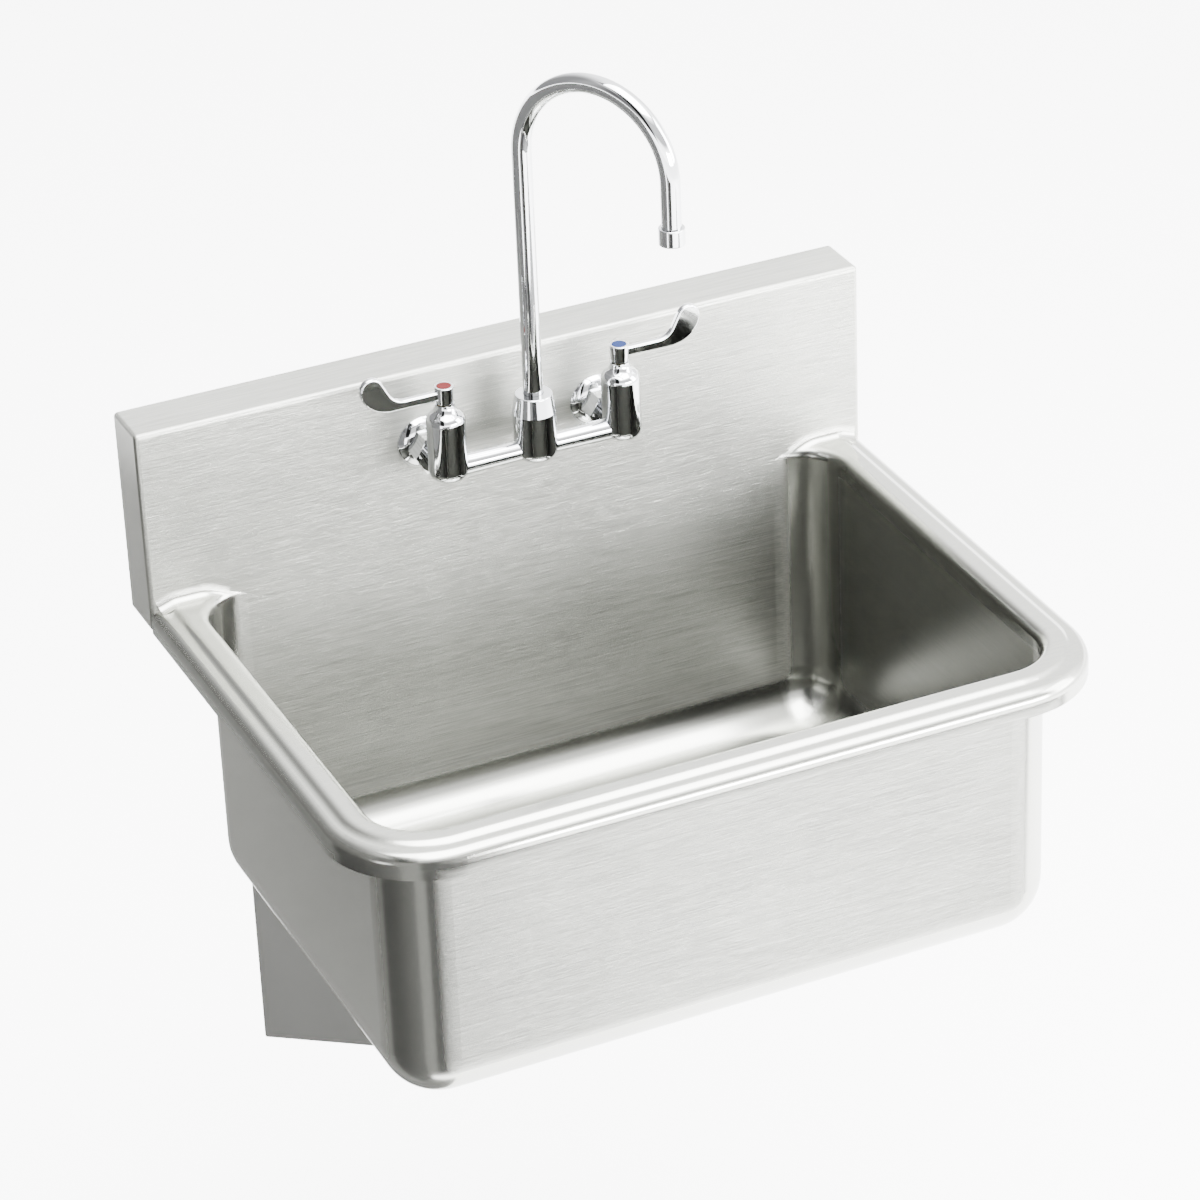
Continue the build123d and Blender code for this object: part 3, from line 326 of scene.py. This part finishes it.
low = air.ramp(height, 0.18, 0.32, 1.0, 0.0)
high = air.ramp(height, 0.62, 0.8, 0.0, 1.0)
in_front = air.ramp(north, -0.3, 0.1, 1.0, 0.0)
dark_room = 1.0 - ROOM_DIMMING * in_front * (1.0 - low - high)

white_horizon = air.ramp(height, 0.08, 0.16, 1.0, 0.0)
brightness = (overhead * grey_left * gap * dark_room).or_more(white_horizon)
join(air.tree, brightness, air.background.inputs["Color"])
air.background.inputs["Strength"].default_value = AIR_STRENGTH
print("air:", len(air.tree.nodes), "nodes")

# %% [markdown]
# ## Where the steel changes
#
# The basin is one piece of steel with a polished zone, and with painted shade, a darker steel
# colour, on some of its walls. Each helper below is a mask, one on a zone of the basin and nothing
# elsewhere, read from the direction in which the surface faces and from its spot on the sink. The
# CAD mesh stays whole, and a mask follows its curves by itself.

# %% Zones of the basin
RIM_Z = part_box("bowl")[0][2] + 0.261
SPLASH_FACE_Y = -0.0514
RIM_FOOT = 0.022
BOTTOM_DEPTH = 0.12
FRONT_ZONE_Y = -0.36


def end_walls(finish):
    """One on the walls at the two ends, which face along X, for their grain and their painted
    shade.
    """
    east, _, _ = finish.facing()
    return finish.ramp(abs(east), 0.6, 0.85, 0.0, 1.0)


def looks_inward(finish):
    """One on a wall that faces the middle of the sink and nothing on one that faces away, for
    painted shade.
    """
    east, _, _ = finish.facing()
    right, _, _ = finish.spot()
    return finish.ramp(east * right, -0.05, 0.05, 1.0, 0.0)


def bottom(finish):
    """One on the flat bottom of the bowl, which gets painted shade."""
    _, _, up = finish.facing()
    _, _, height = finish.spot()
    low = finish.ramp(height, RIM_Z - BOTTOM_DEPTH, RIM_Z - BOTTOM_DEPTH + 0.04, 1.0, 0.0)
    return low * finish.ramp(abs(up), 0.93, 0.985, 0.0, 1.0)


def front_wall_inside(finish):
    """One on the inner face of the bowl's front wall, which the rear cove mirrors; it gets painted
    shade.
    """
    _, north, _ = finish.facing()
    _, depth, _ = finish.spot()
    near_front = finish.ramp(depth, FRONT_ZONE_Y, FRONT_ZONE_Y + 0.04, 1.0, 0.0)
    return near_front * finish.ramp(north, 0.6, 0.85, 0.0, 1.0)


def polished_zone(finish):
    """One on the rolled rim, the rounded corners and the bottom, which are buffed by hand."""
    _, depth, height = finish.spot()
    before_splash = finish.ramp(depth, SPLASH_FACE_Y - 0.0016, SPLASH_FACE_Y, 1.0, 0.0)
    rim = before_splash * finish.ramp(height, RIM_Z - RIM_FOOT, RIM_Z - 0.012, 0.0, 1.0)
    east, north, _ = finish.facing()
    not_wall = finish.ramp(abs(east).or_more(abs(north)), 0.94, 0.99, 1.0, 0.0)
    below_rim = finish.ramp(height, RIM_Z - 0.01, RIM_Z, 1.0, 0.0)
    return rim.or_more(not_wall * below_rim)


print("rim at", round(RIM_Z, 4), "m")

# %% [markdown]
# ## Brushed stainless steel
#
# The basin is finished with a belt that runs along its length, so the grain is thousands of
# short scratches parallel to X, and parallel to Y on the two end walls, where the belt has to
# turn. A noise texture that is stretched about 50 times along the grain gives the scratches. Each
# wall takes the noise that suits it, chosen by the direction in which the surface faces. The
# scratches are tilted facets too small to see, and a bump of them smears the reflections across
# the grain, which is what makes brushed steel look brushed. A longer noise adds the streaks where
# the belt pressed harder, and a slow cloud keeps the large faces from looking printed.
#
# Real brushed steel dims when it is seen across its grain. One roughness for all directions can't
# show that, so the end walls, the bottom and the inside of the front wall get a darker steel
# instead. This is painted shade: it stands in for the deeper tones that these faces show, and the
# steel itself is the same all over.

# %% Brushed steel
FINE_SCRATCH = (0.025, 0.0005)
LONG_STREAK = (0.06, 0.0011)
CLOUD_SCALE = 5
FINE_SHARE, STREAK_SHARE, CLOUD_SHARE = 0.35, 0.45, 0.2
# Painted shade: how much darker the steel is painted on the end walls, inner walls and bottom.
END_WALL_PAINTED_SHADE = 0.6
INNER_WALL_PAINTED_SHADE = 0.25
BOTTOM_PAINTED_SHADE = 0.5
PAINTED_SHADE_COVER = 0.85


def grain(finish, size, detail, end_wall):
    """Streaks of a length and thickness, in metres, along X or on the end walls along Y."""
    length, thickness = size
    ratio = length / thickness
    along_x = finish.noise((1, ratio, ratio), 1 / length, detail)
    along_y = finish.noise((ratio, 1, ratio), 1 / length, detail)
    return along_x + (along_y - along_x) * end_wall


def steel_colour_with_painted_shade(finish, colour, plain, end_wall):
    """The plain colour, with painted shade on the end walls, the inner front wall and the bottom.
    """
    inside = shade(colour, INNER_WALL_PAINTED_SHADE)
    shaded = finish.tint(looks_inward(finish), shade(colour, END_WALL_PAINTED_SHADE), inside)
    ends = finish.tint(PAINTED_SHADE_COVER * end_wall, plain, shaded)
    walls = finish.tint(PAINTED_SHADE_COVER * front_wall_inside(finish), ends, inside)
    return finish.tint(PAINTED_SHADE_COVER * bottom(finish), walls, shade(colour, BOTTOM_PAINTED_SHADE))


def brushed_steel(name, colour, roughness, streak, scratch, polished=None):
    """Satin steel: fine scratches, longer streaks, a slow cloud and smoother polished parts."""
    finish = Finish(name, colour, 1.0, roughness)
    end_wall = end_walls(finish)
    fine = grain(finish, FINE_SCRATCH, 3, end_wall)
    streaks = grain(finish, LONG_STREAK, 4, end_wall)
    cloud = finish.noise(EVEN, CLOUD_SCALE, 2)
    dull = 1.0 - polished(finish) if polished else 1.0

    pattern = fine * FINE_SHARE + streaks * STREAK_SHARE + cloud * CLOUD_SHARE - 0.5
    contrast = finish.ramp(pattern * (0.3 + 0.7 * dull), -0.2, 0.2, 0.0, 1.0)
    plain = finish.tint(contrast, shade(colour, 1 - streak), shade(colour, 1 + streak))
    # The base colour carries the painted shade on the end walls, the inner front wall and the
    # bottom.
    finish.set("Base Color", steel_colour_with_painted_shade(finish, colour, plain, end_wall))

    rough = dull * (1.0 - 0.5 * end_wall)
    spread = roughness * (0.5 + 0.5 * rough)
    uneven = (0.06 * (streaks - 0.5) + 0.05 * (cloud - 0.5)) * dull
    finish.set("Roughness", spread + uneven)
    finish.bump(fine * rough, scratch)
    return finish.material


steel = brushed_steel(
    "basin_satin_steel", (0.42, 0.425, 0.395), 0.40, 0.28, 2e-4, polished_zone
)
# The bracket's base colour is half that of the basin's steel: painted shade for the bracket under
# the bowl.
bracket_steel = brushed_steel("bracket_steel_painted_shade", (0.21, 0.21, 0.195), 0.34, 0.1, 4e-5)
print("steel finishes:", steel.name, bracket_steel.name)

# %% [markdown]
# ## Chrome, brass and small parts
#
# The tap is a brass casting under bright plating, which is almost a perfect mirror: only a faint
# waviness of the casting and a thin film on it tell it from one. Turned parts keep the fine rings
# of the lathe, and plastics, rubber and fibre have the skin of their mould. One recipe for each
# way of making is enough, and every part takes its own colour and roughness in it.

# %% Recipes for the small parts


def plated(name, colour, roughness):
    """Polished plating with the faint waviness of a casting below it."""
    finish = Finish(name, colour, 1.0, roughness)
    wave = finish.noise(EVEN, 90, 2)
    film = finish.noise(EVEN, 400, 3)
    finish.set("Roughness", roughness - 0.02 + 0.04 * film)
    finish.bump(wave, 1.5e-6)
    return finish.material


def turned(name, colour, roughness):
    """Metal from the lathe, with fine tool marks."""
    finish = Finish(name, colour, 1.0, roughness)
    marks = finish.noise((1, 1, 14), 500, 2)
    dull = finish.noise(EVEN, 60, 3)
    finish.set("Base Color", finish.tint(dull, shade(colour, 0.85), colour))
    finish.set("Roughness", roughness - 0.05 + 0.1 * marks)
    finish.bump(marks, 8e-6)
    return finish.material


def moulded(name, colour, roughness, fineness=120, gloss=0.5):
    """Plastic, rubber or fibre with a light moulded texture."""
    finish = Finish(name, colour, 0.0, roughness)
    finish.set("Specular IOR Level", gloss)
    skin = finish.noise(EVEN, fineness, 4)
    finish.set("Base Color", finish.tint(skin, shade(colour, 0.8), colour))
    finish.set("Roughness", roughness - 0.05 + 0.1 * skin)
    finish.bump(skin, 1e-5)
    return finish.material


print("recipes:", [recipe.__name__ for recipe in (plated, turned, moulded)])

# %% Give each node its finish
finishes = {
    "basin_steel": steel,
    "bracket_steel": bracket_steel,
    "fastener_steel": turned("turned_fastener_steel", (0.6, 0.6, 0.6), 0.25),
    "drain_steel": turned("polished_drain_steel", (0.66, 0.66, 0.64), 0.18),
    "tap_chrome": plated("tap_chrome", (0.62, 0.63, 0.645), 0.04),
    "raw_brass": turned("machined_brass", (0.74, 0.55, 0.26), 0.3),
    "rubber": moulded("black_rubber", (0.02, 0.02, 0.02), 0.6),
    "fibre": moulded("pressed_fibre", (0.4, 0.3, 0.18), 0.8),
    "nylon": moulded("white_nylon", (0.8, 0.8, 0.76), 0.45),
    "disc_ceramic": moulded("lapped_ceramic", (0.88, 0.88, 0.86), 0.15),
    "hot_button": moulded("red_index_plastic", (0.08, 0.001, 0.001), 0.5, gloss=0.15),
    "cold_button": moulded("blue_index_plastic", (0.001, 0.014, 0.08), 0.5, gloss=0.15),
}
slot_of = {row["node"]: row["material_slot"] for row in frame["record"]["subparts"]}
for name, node in frame["nodes"].items():
    node.data.materials.clear()
    node.data.materials.append(finishes[slot_of[name]])
print("finished nodes:", len(slot_of))

# %% [markdown]
# ## The floor's paper
#
# The floor is matt white paper with a soft unevenness. Its glow is one number for the whole
# sheet, so it is set on the shader's own socket.

# %% Floor finish
FLOOR_GLOW = 3.5

paper = Finish("studio_floor_paper", (0.9, 0.9, 0.9), 0.0, 0.9)
fibres = paper.noise(EVEN, 3, 4)
paper.set("Base Color", paper.tint(fibres, (0.88, 0.88, 0.88), (0.92, 0.92, 0.92)))
paper.set("Emission Color", (1, 1, 1, 1))
paper.set("Emission Strength", FLOOR_GLOW)
floor.data.materials.append(paper.material)
print("floor finish:", paper.material.name)

# %% [markdown]
# ## Flags
#
# A photographer stands black and grey cards beside a metal object and lays mats before it, just
# outside the picture. The metal mirrors them, and their dark edges draw the corners of the apron
# and the long stripes of the chrome. These are seen by mirrors alone, so they shade nothing, stop
# no lamp and hide nothing when the sink is looked at from another side. A flag stands upright
# between two points on the floor, and a mat lies a little above it, where the two can't flicker
# into each other.

# %% Cards that only reflections see
MAT_LIFT = 0.004
HIDDEN_FROM = ("visible_camera", "visible_diffuse", "visible_shadow", "visible_transmission")


def reflected_card(name, corners, finish):
    """A card through four corners, in rows of two, which only reflections see."""
    clear_selection()
    bpy.ops.mesh.primitive_plane_add(size=1, location=(0, 0, 0))
    card = bpy.context.object
    card.name = name
    in_rows = sorted(card.data.vertices, key=lambda vertex: (vertex.co.y, vertex.co.x))
    for vertex, corner in zip(in_rows, corners):
        vertex.co = corner
    card.data.materials.append(finish)
    for ray in HIDDEN_FROM:
        setattr(card, ray, False)


def flag_card(name, start, end, top, finish):
    """An upright card that stands on the floor between two points."""
    corners = [(*start, FLOOR_Z), (*end, FLOOR_Z), (*start, top), (*end, top)]
    reflected_card(name, corners, finish)


def mat(name, near_left, far_right, finish):
    """A card that lies just above the floor, between two opposite corners."""
    (left, near), (right, far) = near_left, far_right
    corners = [(left, near), (right, near), (left, far), (right, far)]
    reflected_card(name, [(*corner, FLOOR_Z + MAT_LIFT) for corner in corners], finish)


def card_paint(name, grey):
    """Matt paint of one grey, a little uneven."""
    return moulded(name, (grey, grey, 0.97 * grey), 0.95, 60)


def mat_felt(name):
    """Dark felt that is lighter to the right and darker towards the viewer."""
    felt = Finish(name, (0.2, 0.2, 0.2), 0.0, 0.95)
    right, away, _ = felt.spot()
    lighter_right = felt.ramp(right, 0.1, 0.7, 0.55, 1.0)
    darker_near = felt.ramp(away, -1.9, -1.3, 1.0, 0.75)
    amount = lighter_right * darker_near
    felt.set("Base Color", felt.tint(amount, (0.0, 0.0, 0.0), (0.12, 0.12, 0.12)))
    return felt.material


black_cloth = card_paint("black_flag_cloth", 0.015)
dark_card = card_paint("dark_flag_card", 0.035)
grey_card = card_paint("grey_flag_card", 0.10)
print("card paints:", black_cloth.name, dark_card.name, grey_card.name)

# %% Stand the flags and lay the mats
LEFT_CARD_X = -0.42

# Each row: the two points on the floor, the height of the top, and the paint.
FLAG_CARDS = {
    "left_flag": ((LEFT_CARD_X, -0.60), (LEFT_CARD_X, -0.36), -0.12, black_cloth),
    "side_flag": ((LEFT_CARD_X, -0.36), (LEFT_CARD_X, 1.50), -0.12, grey_card),
    "far_flag": ((-0.78, -0.62), (-0.78, 0.95), 0.35, dark_card),
    "corner_flag": ((-0.536, -0.632), (-0.39, -0.73), 0.02, grey_card),
    "front_flag": ((-0.39, -0.73), (-0.10, -0.80), 0.02, black_cloth),
}
for name, card in FLAG_CARDS.items():
    flag_card(name, *card)
mat("front_mat", (-0.6, -2.4), (1.8, -0.9), mat_felt("grey_mat_felt"))
mat("side_mat", (LEFT_CARD_X, -0.6), (-0.12, 1.5), grey_card)

# %% [markdown]
